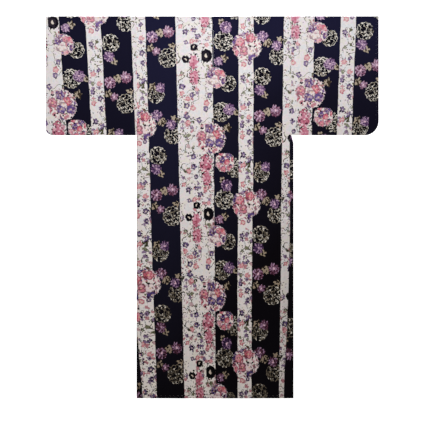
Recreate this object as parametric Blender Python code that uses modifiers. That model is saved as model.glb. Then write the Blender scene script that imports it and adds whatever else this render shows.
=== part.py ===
# A cotton yukata laid flat on its front, with its back up and its fronts closed underneath.
# Metres, +Z up. The shoulder fold lies towards +Y, and the wearer's left towards -X.
import math
from collections import namedtuple

import bmesh
import bpy

# Sizes of the whole garment
LENGTH = 1.602  # shoulder fold to hem
HALF_SPAN = 0.698  # middle to the end of a sleeve
SLEEVE_DEPTH = 0.499  # shoulder fold to the bottom of a sleeve
NECK_HALF_WIDTH = 0.090  # the slit in the shoulder fold that the collar is sewn to
FRONT_EDGE = 0.080  # from the centre to the seam between a front and its overlap panel
SEAM_AT_SHOULDER = 0.006  # how far the centre back seam lies to the right of the middle
SEAM_AT_HEM = 0.015

# Sizes of the overlap panels and the collar, as drops below the shoulder fold and distances across
OVERLAP_TIP_DROP = 0.230
COLLAR_END_DROP = 0.800
OVERLAP_WIDTH_AT_HEM = 0.150
OVERLAP_WIDTH_AT_COLLAR = 0.140
COLLAR_WIDTH_AT_NECK = 0.055
COLLAR_WIDTH_AT_END = 0.075

# The cloth, and how its layers lie on each other
WALL = 0.0012
GAP = 0.0003  # at seams, and between layers
LAYER = WALL + GAP
TWO_UNDER = 0.150  # both fronts lie under the back as far out as this
ONE_UNDER = 0.190  # and only one of them from here on
STEP_ABOVE = 0.0005  # the body widens this far below the sleeve's bottom edge
STEP_BELOW = 0.0020

# How finely the panels are divided
BACK_STEP = 0.045
FRONT_STEP = 0.220
RAMP_CELLS = 3
FOLD_CELLS = 6
CORNER_CELLS = 5
SLEEVE_COLUMN = 0.036
SLEEVE_BACK_ROWS = 13
SLEEVE_FRONT_ROWS = 4
OVERLAP_COLUMNS = 5
OVERLAP_ROWS = 8
COLLAR_COLUMNS = 3
COLLAR_CELLS = 3  # between two seam corners of the collar

SHOULDER_Y = LENGTH / 2
HEM_Y = -LENGTH / 2
SLEEVE_BOTTOM_Y = SHOULDER_Y - SLEEVE_DEPTH

# The front of each side rolls round the side of the body and shows on top, up to the side seam.
# drop is below the shoulder fold, and width is how much of the front shows there.
Roll = namedtuple("Roll", "drop width")
Side = namedtuple("Side", "sign armhole outline front_level sleeve_corner rolls")
STEP_DROP = SLEEVE_DEPTH + STEP_BELOW
SIDES = {
    "left": Side(
        sign=-1,
        armhole=0.3155,
        outline=0.3170,
        front_level=0,
        sleeve_corner=0.030,
        rolls=(
            Roll(STEP_DROP, 0.0030),
            Roll(1.12, 0.0030),
            Roll(1.27, 0.0155),
            Roll(1.36, 0.0205),
            Roll(LENGTH, 0.0360),
        ),
    ),
    "right": Side(
        sign=1,
        armhole=0.3318,
        outline=0.3415,
        front_level=1,
        sleeve_corner=0.059,
        rolls=(
            Roll(STEP_DROP, 0.0164),
            Roll(0.89, 0.0147),
            Roll(1.15, 0.0180),
            Roll(1.32, 0.0240),
            Roll(1.50, 0.0344),
            Roll(LENGTH, 0.0365),
        ),
    ),
}

# Soft folds in the upper layer. x and y are the middle of a fold, turn is its slant from the
# garment's length in degrees, bow is how far its middle stands off the line between its ends.
Fold = namedtuple("Fold", "x y run turn bow half_width height")
FOLDS = (
    Fold(x=-0.205, y=-0.330, run=0.760, turn=-2, bow=0.012, half_width=0.030, height=0.0026),
    Fold(x=-0.085, y=-0.540, run=0.460, turn=3, bow=-0.010, half_width=0.028, height=0.0020),
    Fold(x=0.060, y=-0.300, run=0.620, turn=2, bow=0.014, half_width=0.032, height=0.0022),
    Fold(x=0.215, y=-0.450, run=0.640, turn=4, bow=-0.012, half_width=0.030, height=0.0028),
    Fold(x=-0.225, y=0.330, run=0.420, turn=-24, bow=0.016, half_width=0.032, height=0.0024),
    Fold(x=0.222, y=0.345, run=0.380, turn=22, bow=-0.014, half_width=0.032, height=0.0024),
    Fold(x=-0.110, y=0.130, run=0.520, turn=-6, bow=0.010, half_width=0.034, height=0.0018),
    Fold(x=0.135, y=0.080, run=0.440, turn=7, bow=-0.010, half_width=0.032, height=0.0018),
    Fold(x=-0.560, y=0.560, run=0.400, turn=8, bow=0.014, half_width=0.030, height=0.0026),
    Fold(x=-0.440, y=0.520, run=0.340, turn=-10, bow=-0.012, half_width=0.030, height=0.0022),
    Fold(x=-0.640, y=0.470, run=0.240, turn=-14, bow=0.008, half_width=0.026, height=0.0018),
    Fold(x=0.470, y=0.540, run=0.380, turn=-8, bow=0.012, half_width=0.030, height=0.0024),
    Fold(x=0.600, y=0.500, run=0.320, turn=12, bow=-0.010, half_width=0.030, height=0.0022),
)

NAVY = (0.0075, 0.0065, 0.0230, 1.0)
COTTON_ROUGHNESS = 0.85


def smooth(share):
    share = min(max(share, 0.0), 1.0)
    return share * share * (3 - 2 * share)


def between(a, b, share):
    return a + (b - a) * share


def read(table, drop):
    # The width that a table of rolls gives at a drop, straight between its rows.
    for upper, lower in zip(table, table[1:]):
        if drop <= lower.drop:
            share = (drop - upper.drop) / (lower.drop - upper.drop)
            return between(upper.width, lower.width, max(share, 0.0))
    return table[-1].width


def divided(stops, step):
    # The stops again, with enough points between them that none is more than a step apart.
    points = [stops[0]]
    for start, end in zip(stops, stops[1:]):
        cells = math.ceil(abs(end - start) / step)
        points += [between(start, end, cell / cells) for cell in range(1, cells + 1)]
    return points


# Heights of the middle of the cloth
def level_height(level):
    return WALL / 2 + level * LAYER


def layers_crossing(x):
    # 1 where both fronts lie under the back, 0 where only one does.
    return smooth((ONE_UNDER - abs(x)) / (ONE_UNDER - TWO_UNDER))


def front_height(side, x):
    return level_height(side.front_level * layers_crossing(x))


def folds_height(x, y):
    total = 0.0
    for fold in FOLDS:
        slant = math.radians(fold.turn)
        along = (y - fold.y) * math.cos(slant) - (x - fold.x) * math.sin(slant)
        across = (x - fold.x) * math.cos(slant) + (y - fold.y) * math.sin(slant)
        share = 2 * along / fold.run
        if abs(share) < 1:
            off = (across - fold.bow * (1 - share * share)) / fold.half_width
            total += fold.height * math.exp(-off * off) * math.cos(share * math.pi / 2) ** 2
    return total


def back_height(side, x, y, edge):
    lying_flat = smooth((edge - abs(x)) / 0.050) * smooth((SHOULDER_Y - y) / 0.060)
    return level_height(1 + layers_crossing(x)) + folds_height(x, y) * lying_flat


def sleeve_height(side, x, y, bottom):
    lying_flat = smooth((abs(x) - side.armhole) / 0.050) * smooth((SHOULDER_Y - y) / 0.060)
    return level_height(1) + folds_height(x, y) * lying_flat * smooth((y - bottom) / 0.040)


def shoulder_turn(x, upper, lower, angle):
    # A point of the fold that carries the back over the shoulder into the front.
    radius = (upper - lower) / 2
    y = SHOULDER_Y - WALL / 2 - radius + radius * math.sin(angle)
    return (x, y, (upper + lower) / 2 + radius * math.cos(angle))


def cotton(name):
    material = bpy.data.materials.new(name + "_cotton")
    material.use_nodes = True
    shader = material.node_tree.nodes["Principled BSDF"]
    shader.inputs["Base Color"].default_value = NAVY
    shader.inputs["Roughness"].default_value = COTTON_ROUGHNESS
    shader.inputs["Metallic"].default_value = 0.0
    material.diffuse_color = NAVY
    return material


def cloth(name, columns, rows, place, kept=None):
    # One piece of cloth: a grid with each point put in its place, less the cells that aren't kept,
    # and given its wall on both sides of that surface.
    mesh = bmesh.new()
    bmesh.ops.create_grid(mesh, x_segments=len(columns) - 1, y_segments=len(rows) - 1, size=1.0)
    at = {}
    for vertex in mesh.verts:
        column = round((vertex.co.x + 1) / 2 * (len(columns) - 1))
        row = round((vertex.co.y + 1) / 2 * (len(rows) - 1))
        at[vertex] = (column, row)
    if kept:
        corners = {face: [at[vertex] for vertex in face.verts] for face in mesh.faces}
        dropped = [
            face
            for face, cells in corners.items()
            if not kept(columns[max(c for c, _ in cells)], rows[max(r for _, r in cells)])
        ]
        bmesh.ops.delete(mesh, geom=dropped, context="FACES")
    for vertex in mesh.verts:
        column, row = at[vertex]
        vertex.co = place(columns[column], rows[row])
    bmesh.ops.recalc_face_normals(mesh, faces=mesh.faces)

    data = bpy.data.meshes.new(name)
    mesh.to_mesh(data)
    mesh.free()
    piece = bpy.data.objects.new(name, data)
    bpy.data.collections["yukata"].objects.link(piece)
    data.materials.append(cotton(name))
    wall = piece.modifiers.new("wall", "SOLIDIFY")
    wall.thickness = WALL
    wall.offset = 0.0
    wall.use_even_offset = True
    wall.use_quality_normals = True
    return piece


# A line of points across or along a panel: its part says how it is placed, value says where.
Line = namedtuple("Line", "part value")


def seam_drops(side):
    # The drops at which the side seam or the front edge of a side turns.
    rolls = [roll.drop for roll in side.rolls]
    return [OVERLAP_TIP_DROP, SLEEVE_DEPTH + STEP_ABOVE] + rolls


def turn_lines(part):
    return [Line(part, math.pi * cell / FOLD_CELLS) for cell in range(FOLD_CELLS + 1)]


def body(name, side):
    # Back and front are one length of cloth, folded at the shoulder and slit there for the neck.
    ramp = divided([TWO_UNDER, ONE_UNDER], (ONE_UNDER - TWO_UNDER) / RAMP_CELLS * 1.01)
    columns = [Line("centre", GAP / 2)]
    columns += [Line("neck", NECK_HALF_WIDTH / 3), Line("neck", NECK_HALF_WIDTH * 2 / 3)]
    columns += [Line("front edge", NECK_HALF_WIDTH), Line("panel", 0.120)]
    columns += [Line("panel", x) for x in ramp + [0.216, 0.243, 0.270]]
    columns += [Line("side edge", None)]
    columns += turn_lines("side roll")[1:]
    columns += [Line("rolled edge", 0.5), Line("rolled edge", 1.0)]

    drops = seam_drops(side)
    back = divided([0.0] + drops, BACK_STEP)[1:]
    front = divided([0.0] + drops, FRONT_STEP)[1:]
    rows = [Line("back", drop) for drop in reversed(back)]
    rows += turn_lines("shoulder")
    rows += [Line("front", drop) for drop in front]

    def side_edge(part, drop):
        if drop < STEP_DROP:
            return side.armhole
        if part == "front":
            return side.outline - WALL / 2 - LAYER / 2
        return side.outline - read(side.rolls, drop) - GAP

    def front_edge(drop):
        return between(NECK_HALF_WIDTH, FRONT_EDGE, min(drop / OVERLAP_TIP_DROP, 1.0))

    def place(column, row):
        drop = 0.0 if row.part == "shoulder" else row.value
        edge = side_edge(row.part, drop)
        if column.part == "centre":
            x = column.value + side.sign * between(SEAM_AT_SHOULDER, SEAM_AT_HEM, drop / LENGTH)
        elif column.part == "side edge":
            x = edge
        elif column.part == "front edge" and row.part == "front":
            x = front_edge(drop)
        elif column.part == "side roll":
            x = edge + LAYER / 2 * math.sin(column.value)
        elif column.part == "rolled edge":
            x = between(edge, side.outline - read(side.rolls, drop), column.value)
        else:
            x = column.value
        y = SHOULDER_Y - drop
        if row.part == "shoulder":
            upper = back_height(side, x, SHOULDER_Y, edge)
            return shoulder_turn(side.sign * x, upper, front_height(side, x), row.value)
        if row.part == "back":
            return (side.sign * x, y, back_height(side, side.sign * x, y, edge))
        z = front_height(side, x)
        if column.part == "side roll":
            z = level_height(0.5) - LAYER / 2 * math.cos(column.value)
        elif column.part == "rolled edge":
            z = level_height(1)
        return (side.sign * x, y, z)

    def kept(column, row):
        # column and row are the far lines of a cell, so a cell up to the front edge is the neck's.
        if column.part in ("neck", "front edge"):
            return row.part == "back" or (row.part == "shoulder" and row.value == 0.0)
        if column.part in ("side roll", "rolled edge"):
            return row.part == "front" and row.value > STEP_DROP
        return True

    return cloth(name, columns, rows, place, kept)


def sleeve(name, side):
    # One length of cloth folded at the shoulder, with its lower outside corner rounded.
    corner = side.sleeve_corner
    straight = divided([side.armhole + GAP, HALF_SPAN - corner], SLEEVE_COLUMN)
    columns = [Line("straight", x) for x in straight]
    columns += [Line("corner", math.pi / 2 * cell / CORNER_CELLS) for cell in range(1, CORNER_CELLS + 1)]
    rows = [Line("back", 1 - row / SLEEVE_BACK_ROWS) for row in range(SLEEVE_BACK_ROWS)]
    rows += turn_lines("shoulder")
    rows += [Line("front", (row + 1) / SLEEVE_FRONT_ROWS) for row in range(SLEEVE_FRONT_ROWS)]

    def place(column, row):
        x, bottom = column.value, SLEEVE_BOTTOM_Y
        if column.part == "corner":
            x = HALF_SPAN - corner + corner * math.sin(column.value)
            bottom = SLEEVE_BOTTOM_Y + corner - corner * math.cos(column.value)
        if row.part == "shoulder":
            return shoulder_turn(side.sign * x, level_height(1), level_height(0), row.value)
        top = SHOULDER_Y - WALL / 2 - LAYER / 2
        y = between(top, bottom, row.value)
        if row.part == "front":
            return (side.sign * x, y, level_height(0))
        return (side.sign * x, y, sleeve_height(side, side.sign * x, y, bottom))

    return cloth(name, columns, rows, place)


def overlap_edge(share):
    # How far past the centre the free edge of an overlap panel lies, from the hem up to the collar.
    return between(OVERLAP_WIDTH_AT_HEM, OVERLAP_WIDTH_AT_COLLAR, share) - FRONT_EDGE


def collar_seam(drop):
    # Where the collar's seam lies on its own side of the centre, at a drop below the shoulder.
    if drop <= OVERLAP_TIP_DROP:
        return between(NECK_HALF_WIDTH, FRONT_EDGE, drop / OVERLAP_TIP_DROP)
    share = (drop - OVERLAP_TIP_DROP) / (COLLAR_END_DROP - OVERLAP_TIP_DROP)
    return between(FRONT_EDGE, -overlap_edge(1.0), share)


def overlap_panel(name, side):
    # The panel sewn to the edge of a front, cut off slantwise at the top for the collar.
    columns = [Line("column", column / OVERLAP_COLUMNS) for column in range(OVERLAP_COLUMNS + 1)]
    rows = [Line("row", row / OVERLAP_ROWS) for row in range(OVERLAP_ROWS + 1)]

    def place(column, row):
        top_x = between(FRONT_EDGE - GAP, -overlap_edge(1.0), column.value)
        hem_x = between(FRONT_EDGE - GAP, -overlap_edge(0.0), column.value)
        reach = (FRONT_EDGE - top_x) / (FRONT_EDGE + overlap_edge(1.0))
        top_y = SHOULDER_Y - between(OVERLAP_TIP_DROP, COLLAR_END_DROP, reach)
        z = level_height(side.front_level)
        return (side.sign * between(hem_x, top_x, row.value), between(HEM_Y, top_y, row.value), z)

    return cloth(name, columns, rows, place)


def collar(name):
    # One band from the end of the left arm round the back of the neck to the end of the right arm.
    # It is folded down inside the neck, so that the shoulder fold stays the top of the garment.
    neck_y = SHOULDER_Y - 2 * WALL
    arm_drops = divided([0.0, OVERLAP_TIP_DROP], OVERLAP_TIP_DROP / COLLAR_CELLS * 1.01)
    slant = divided([OVERLAP_TIP_DROP, COLLAR_END_DROP], 0.100)
    arm_drops += slant[1:]
    stations = [Line("left", drop) for drop in reversed(arm_drops)]
    stations += [Line("neck", 0.0)]
    stations += [Line("right", drop) for drop in arm_drops]
    columns = [Line("across", column / COLLAR_COLUMNS) for column in range(COLLAR_COLUMNS + 1)]

    def place(column, station):
        width = between(COLLAR_WIDTH_AT_NECK, COLLAR_WIDTH_AT_END, station.value / COLLAR_END_DROP)
        if station.part == "neck":
            return (0.0, neck_y - width * column.value, level_height(0.5))
        side = SIDES[station.part]
        x = collar_seam(station.value) - GAP - width * column.value
        y = SHOULDER_Y - station.value
        if station.value == 0.0:
            y = neck_y - width * column.value
        return (side.sign * x, y, level_height(side.front_level))

    return cloth(name, columns, stations, place)


def clear_scene():
    for thing in list(bpy.data.objects):
        bpy.data.objects.remove(thing)
    bpy.context.scene.collection.children.link(bpy.data.collections.new("yukata"))


def main():
    clear_scene()
    for word, side in SIDES.items():
        body("body_" + word, side)
        sleeve("sleeve_" + word, side)
        overlap_panel("overlap_" + word, side)
    collar("collar")


main()
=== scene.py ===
import math
from functools import partial
from types import SimpleNamespace

import bmesh
import bpy
from mathutils import Matrix, Vector, noise


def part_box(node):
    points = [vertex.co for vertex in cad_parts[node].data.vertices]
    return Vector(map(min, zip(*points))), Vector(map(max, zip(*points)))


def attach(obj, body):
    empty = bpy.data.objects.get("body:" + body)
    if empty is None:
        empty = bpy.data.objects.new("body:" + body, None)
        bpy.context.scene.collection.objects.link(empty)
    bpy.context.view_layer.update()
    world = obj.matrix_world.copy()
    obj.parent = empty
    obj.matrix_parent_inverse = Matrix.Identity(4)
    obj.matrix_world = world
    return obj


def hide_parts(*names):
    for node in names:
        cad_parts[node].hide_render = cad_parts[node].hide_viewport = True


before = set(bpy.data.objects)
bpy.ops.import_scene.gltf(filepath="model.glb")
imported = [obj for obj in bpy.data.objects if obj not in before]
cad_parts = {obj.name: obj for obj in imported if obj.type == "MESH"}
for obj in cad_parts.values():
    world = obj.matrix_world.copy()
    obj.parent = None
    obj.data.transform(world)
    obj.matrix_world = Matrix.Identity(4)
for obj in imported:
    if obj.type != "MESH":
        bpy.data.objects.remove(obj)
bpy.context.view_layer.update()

# Sizes read off the frame. Metres, +Z up, shoulder fold towards +Y, wearer's left towards -X.
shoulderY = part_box("body_left")[1].y
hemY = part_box("body_left")[0].y
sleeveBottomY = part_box("sleeve_left")[0].y
robeLength = shoulderY - hemY
print("frame loaded, robe", round(robeLength, 3), "m long")

# Camera, straight above the robe
photo = {
    "pixels": 421,
    "metresPerPixel": 0.004195,  # from the depth of a sleeve, 119 pixels for 49.9 cm
    "middleX": 212.1,  # the pixel that lies over the middle of the robe
    "middleY": 207.25,
    "lens": 100,  # mm, on a 36 mm sensor
}
frameWidth = photo["pixels"] * photo["metresPerPixel"]
cameraData = bpy.data.cameras.new("camera")
cameraData.lens = photo["lens"]
cameraData.sensor_width = 36
cameraData.clip_end = 50
camera = bpy.data.objects.new("camera", cameraData)
bpy.context.collection.objects.link(camera)
camera.location = (
    (photo["pixels"] / 2 - photo["middleX"]) * photo["metresPerPixel"],
    (photo["middleY"] - photo["pixels"] / 2) * photo["metresPerPixel"],
    frameWidth * photo["lens"] / cameraData.sensor_width,
)
bpy.context.scene.camera = camera
print("camera placed", round(camera.location.z, 2), "m above the floor")


def smooth(share):
    share = min(max(share, 0.0), 1.0)
    return share * share * (3 - 2 * share)


def between(a, b, share):
    return a + (b - a) * share


def srgb(hexColour):
    # hex to the linear colour that a shader takes
    channels = [int(hexColour[i:i + 2], 16) / 255 for i in (1, 3, 5)]
    return tuple(c / 12.92 if c <= 0.04045 else ((c + 0.055) / 1.055) ** 2.4 for c in channels) + (1.0,)


def toned(stops):
    # the stops of a colour ramp with their hex colours made linear
    return [(place, srgb(hexColour)) for place, hexColour in stops]


def newMaterial(name):
    material = bpy.data.materials.new(name)
    material.use_nodes = True
    return material, material.node_tree.nodes["Principled BSDF"]


def placeMesh(mesh, name, material):
    data = bpy.data.meshes.new(name)
    mesh.to_mesh(data)
    mesh.free()
    data.materials.append(material)
    piece = bpy.data.objects.new(name, data)
    bpy.context.collection.objects.link(piece)
    return piece


def addNode(tree, kind, inputs=(), stops=(), **settings):
    # Inputs go by place or by name: a node gives its first live output, anything else is a value.
    # Stops are those of a colour ramp, each a place and a colour that holds up to the next.
    node = tree.nodes.new("ShaderNode" + kind)
    for name, value in settings.items():
        setattr(node, name, value)
    for place, value in inputs.items() if isinstance(inputs, dict) else enumerate(inputs):
        if isinstance(value, bpy.types.Node):
            value = next(socket for socket in value.outputs if socket.enabled)
        if isinstance(value, bpy.types.NodeSocket):
            tree.links.new(value, node.inputs[place])
        else:
            node.inputs[place].default_value = value
    if stops:
        elements = node.color_ramp.elements
        node.color_ramp.interpolation = "CONSTANT"
        elements.remove(elements[-1])
        elements[0].color = stops[0][1]
        for at, colour in stops[1:]:
            elements.new(at).color = colour
    return node


# The print, charted over one repeat of the cloth, in millimetres.
# across starts at the left edge of the wide white stripe, along at the shoulder.
printRepeat = {
    "width": 456,
    "height": 663,
    "drop": 0.5,  # each repeat starts half a height below the one on its left
    "darkStripes": ((154, 265), (329, 456)),  # the wide white stripe lies before, the narrow one between
    "waverLength": 45,
    "waver": 2.5,  # how far a printed edge strays to each side
}
# A motif's lanes go from left to right, with the edges between them, and don't overlap along the cloth.
# Rows of a lane: along, across, radius and, if it is used, kind. A notch reaches in to that share.
flowerBall = {
    "edges": (),
    "lanes": (((126, 300, 61, 0.65), (258, 166, 45, 0.4), (512, 144, 64, 0.15), (611, 203, 42, 0.55)),),
}
latticeBall = {
    "petals": 13,
    "notch": 0.9,
    "edges": (265,),
    "lanes": (
        ((105, 201, 43), (282, 219, 36), (402, 191, 42), (636, 250, 42)),
        ((168, 433, 38), (253, 366, 39), (507, 421, 42), (660, 364, 38)),
    ),
}
chrysanthemum = {
    "petals": 9,
    "notch": 0.8,
    "edges": (265, 402),
    "lanes": (
        ((47, 213, 27, 0.2), (189, 179, 20, 0.6), (391, 224, 27, 0.3)),
        (
            (85, 368, 24, 0.6), (310, 357, 24, 0.4), (418, 357, 26, 0.8), (479, 371, 18, 0.9),
            (632, 386, 22, 0.3),
        ),
        ((123, 427, 22, 0.3), (396, 425, 26, 0.9)),
    ),
}
leafSpray = {
    "petals": 5,
    "notch": 0.55,
    "edges": (265, 418),
    "lanes": (
        ((24, 194, 15), (176, 204, 18), (402, 250, 15), (468, 215, 19)),
        ((112, 388, 19), (329, 378, 16), (402, 389, 20), (465, 347, 17), (628, 354, 19)),
        ((98, 440, 17), (456, 440, 14)),
    ),
}
# kinds of small flower: 0.1 purple, 0.3 pink, 0.7 black camellia, 0.9 leaf green
smallFlower = {
    "petals": 5,
    "notch": 0.62,
    "edges": (55, 107, 210, 298),
    "lanes": (
        (
            (43, 20, 11, 0.3), (66, 42, 14, 0.1), (110, 43, 11, 0.1), (180, 40, 16, 0.7),
            (238, 24, 9, 0.9), (296, 21, 15, 0.1), (324, 22, 12, 0.3), (347, 46, 12, 0.3),
            (374, 41, 14, 0.1), (420, 38, 15, 0.1), (447, 47, 12, 0.3), (500, 30, 8, 0.9),
            (570, 30, 9, 0.9), (650, 44, 13, 0.3),
        ),
        (
            (12, 76, 10, 0.1), (59, 78, 12, 0.1), (84, 92, 13, 0.1), (105, 68, 12, 0.3),
            (129, 76, 16, 0.7), (306, 84, 10, 0.3), (330, 64, 13, 0.1), (386, 66, 13, 0.3),
            (436, 92, 13, 0.1), (550, 66, 6, 0.9), (590, 64, 14, 0.1), (632, 66, 13, 0.1),
        ),
        (
            (62, 116, 12, 0.3), (121, 129, 11, 0.3), (166, 126, 27, 0.7), (222, 134, 8, 0.9),
            (332, 140, 12, 0.1), (365, 127, 13, 0.3), (388, 123, 13, 0.1), (560, 138, 8, 0.9),
        ),
        (
            (44, 284, 13, 0.3), (202, 287, 14, 0.3), (258, 284, 13, 0.1), (322, 287, 8, 0.9),
            (382, 284, 13, 0.3), (424, 282, 8, 0.9), (458, 281, 12, 0.1), (506, 281, 12, 0.3),
            (582, 286, 14, 0.1), (624, 285, 14, 0.3),
        ),
        (
            (30, 312, 8, 0.9), (194, 312, 11, 0.1), (366, 310, 10, 0.1), (424, 311, 13, 0.3),
            (486, 310, 13, 0.1), (528, 312, 12, 0.1), (603, 314, 13, 0.1), (650, 312, 8, 0.9),
        ),
    ),
}
wisteria = {
    "narrower": 1.6,
    "edges": (),
    "lanes": (((18, 122, 36), (192, 73, 34), (256, 76, 38), (622, 120, 46)),),
}
laneReach = {"along": 3 * printRepeat["height"], "across": 500, "radius": 100}


def laneStops(rows):
    # Which motif is the nearest at each place along the repeat, as the stops of a ramp.
    # A colour holds across, along and radius, and its alpha the kind, all scaled to 0 to 1.
    height = printRepeat["height"]
    around = [(rows[-1][0] - height, *rows[-1][1:]), *rows, (rows[0][0] + height, *rows[0][1:])]
    starts = [0.0]
    for before, after in zip(around, around[1:]):
        halfWay = (before[0] + before[2] + after[0] - after[2]) / 2
        starts.append(max(halfWay, 0.0) / height)
    stops = {}
    for start, (along, across, radius, *kind) in zip(starts, around):
        if start < 1.0:  # of two that start together, the later one shows
            middle = (across / laneReach["across"], (along + height) / laneReach["along"])
            stops[start] = (*middle, radius / laneReach["radius"], *(kind or [1.0]))
    return list(stops.items())


def layCloth(add):
    # Where a point lies in the repeat and on the robe, and the textures that several motifs share
    cloth = add("UVMap", uv_map="clothPlace")
    acrossCloth, downCloth = add("SeparateXYZ", [cloth]).outputs[:2]
    widths = add("Math", [acrossCloth, 1000 / printRepeat["width"]], operation="MULTIPLY")
    heights = add("Math", [downCloth, 1000 / printRepeat["height"]], operation="MULTIPLY")
    number = add("Math", [widths], operation="FLOOR")
    share = add("Math", [widths], operation="FRACT")
    across = add("Math", [share, printRepeat["width"]], operation="MULTIPLY")
    dropped = add("Math", [number, printRepeat["drop"], heights], operation="MULTIPLY_ADD")
    along = add("Math", [dropped], operation="FRACT")
    down = add("Math", [along, printRepeat["height"]], operation="MULTIPLY")
    place = add("CombineXYZ", [across, down])
    acrossRobe, upRobe = add("SeparateXYZ", [add("TexCoord").outputs["Object"]]).outputs[:2]
    downRobe = add("MapRange", [upRobe, shoulderY, hemY, 0.0, 1.0])

    crumbs = add("TexVoronoi", {"Vector": place, "Scale": 1 / 6.5}, voronoi_dimensions="2D")
    crumb = add("SeparateColor", [crumbs.outputs["Color"]]).outputs
    patches, curl, tint, sway = (
        add("TexNoise", {"Vector": place, "Scale": 1 / size, "Detail": detail}, noise_dimensions="2D")
        for size, detail in ((11, 2.0), (14, 1.0), (22, 1.0), (62, 1.0))
    )
    bends = add("VectorMath", [curl.outputs["Color"], (0.5, 0.5, 0)], operation="SUBTRACT")
    bent = add("VectorMath", [bends, (14, 14, 0), place], operation="MULTIPLY_ADD")
    curled = add("VectorMath", [bends, (24, 24, 0), place], operation="MULTIPLY_ADD")
    whole = add("Math", [downRobe, 0.03, patches], operation="MULTIPLY_ADD")
    whole = add("Math", [whole, 0.445], operation="GREATER_THAN")  # 0 where thin lines have worn off
    return SimpleNamespace(
        cloth=cloth, acrossCloth=acrossCloth, downCloth=downCloth, acrossRobe=acrossRobe, downRobe=downRobe,
        across=across, along=along, place=place, bent=bent, curled=curled,
        crumb=crumb, patches=patches, tint=tint, sway=sway, whole=whole,
    )


def angleOf(add, off):
    parts = add("SeparateXYZ", [off])
    return add("Math", [parts.outputs[1], parts.outputs[0]], operation="ARCTAN2")


def lobeAt(add, angle, petals):
    # 1 along the middle of each round petal, 0 between them
    turn = add("Math", [angle, petals / 2], operation="MULTIPLY")
    wave = add("Math", [turn], operation="COSINE")
    return add("Math", [wave], operation="ABSOLUTE")


def petalShare(add, off, away, petals, notch):
    # How far out a place lies on the way to an outline of round petals
    lobe = lobeAt(add, angleOf(add, off), petals)
    reach = add("Math", [lobe, 1 - notch, notch], operation="MULTIPLY_ADD")
    return add("Math", [away, reach], operation="DIVIDE")


def layMotif(add, at, place, motif):
    # Where a place lies off the middle of its motif, in the motif's radii, and the motif's kind
    ramps = [add("ValToRGB", [at.along], laneStops(rows)) for rows in motif["lanes"]]
    chart, kind = ramps[0], ramps[0].outputs["Alpha"]
    for edge, ramp in zip(motif["edges"], ramps[1:]):
        past = add("Math", [at.across, edge], operation="GREATER_THAN")
        chart = add("Mix", {0: past, 6: chart, 7: ramp}, data_type="RGBA")
        kind = add("Mix", {0: past, 2: kind, 3: ramp.outputs["Alpha"]})
    reach = (laneReach["across"], laneReach["along"], 0)
    middle = add("VectorMath", [chart, reach, (0, -printRepeat["height"], 0)], operation="MULTIPLY_ADD")
    off = add("VectorMath", [place, middle], operation="SUBTRACT")
    radius = add("SeparateColor", [chart]).outputs[2]
    shrink = add("Math", [1 / laneReach["radius"], radius], operation="DIVIDE")
    off = add("VectorMath", {0: off, "Scale": shrink}, operation="SCALE")
    off = add("VectorMath", [off, (motif.get("narrower", 1.0), 1.0, 1.0)], operation="MULTIPLY")
    away = add("VectorMath", [off], operation="LENGTH").outputs["Value"]
    share = petalShare(add, off, away, motif["petals"], motif["notch"]) if "petals" in motif else away
    inside = add("Math", [share, 1.0], operation="LESS_THAN")
    return {"off": off, "away": away, "share": share, "inside": inside, "kind": kind}


# Printed cotton, a plain weave of fine yarn, dyed navy and printed: matt, with a faint slubby grain
cottonLook = {
    # painted shade on the navy ground: darker towards the right below the top, and on the left sleeve
    "blackerToRight": (-0.18, 0.28, 0.0, 0.40),  # from and to a place across, and how much there
    "blackerOnSleeve": (-0.31, -0.34, 0.0, 0.36),
    "deeperTowardsHem": 1.25,  # how much painted shade deepens every colour there
    "wornFold": (0.848, 0.0019),  # a painted highlight along a storage crease: metres down the cloth, and half its width
    "rightSide": (0.445, 0.470),  # metres across the cloth, from where painted shade starts to where it is deepest; the painted crease highlight starts at the first
    "roughness": 0.9,
    "sheen": 0.03,
    "yarn": 1.6,  # mm between threads, about four times the real spacing, or it wouldn't show
    "slub": 9.0,  # mm
}
cottonTones = {
    "navy": "#191835",
    # the navy in full painted shade, and the darkest any colour goes, at the top and in the painted shade
    # at the hem
    "nearlyBlack": "#060208",
    "darkest": "#0f0b1a",
    "darkestAtHem": "#030104",
    "whiteAtHem": "#f7f1ea",
    "stem": "#76745c",
    "latticeLine": "#f0eae1",
    "latticeShade": "#b2a898",
    "latticeHole": "#0c0809",
    "leaf": "#c6b8a6",
    "leafShade": "#52463b",
    "lilac": "#84628e",
    "rose": "#99657f",
    "petalGap": "#40294c",
    "petalTip": "#cfb4cb",
    "heart": "#f0d3de",
    "smallHeart": "#e9ddd2",
    "wisteriaLeaf": "#2e2730",
    "bloomPale": "#f3dde0",
    "bloomDeep": "#7c3f5c",
    "bloomShade": "#5a3350",
    "bloomHeart": "#ecd3b4",
    "ballRim": "#e2d8da",
}
tone = {name: srgb(hexColour) for name, hexColour in cottonTones.items()}
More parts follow.
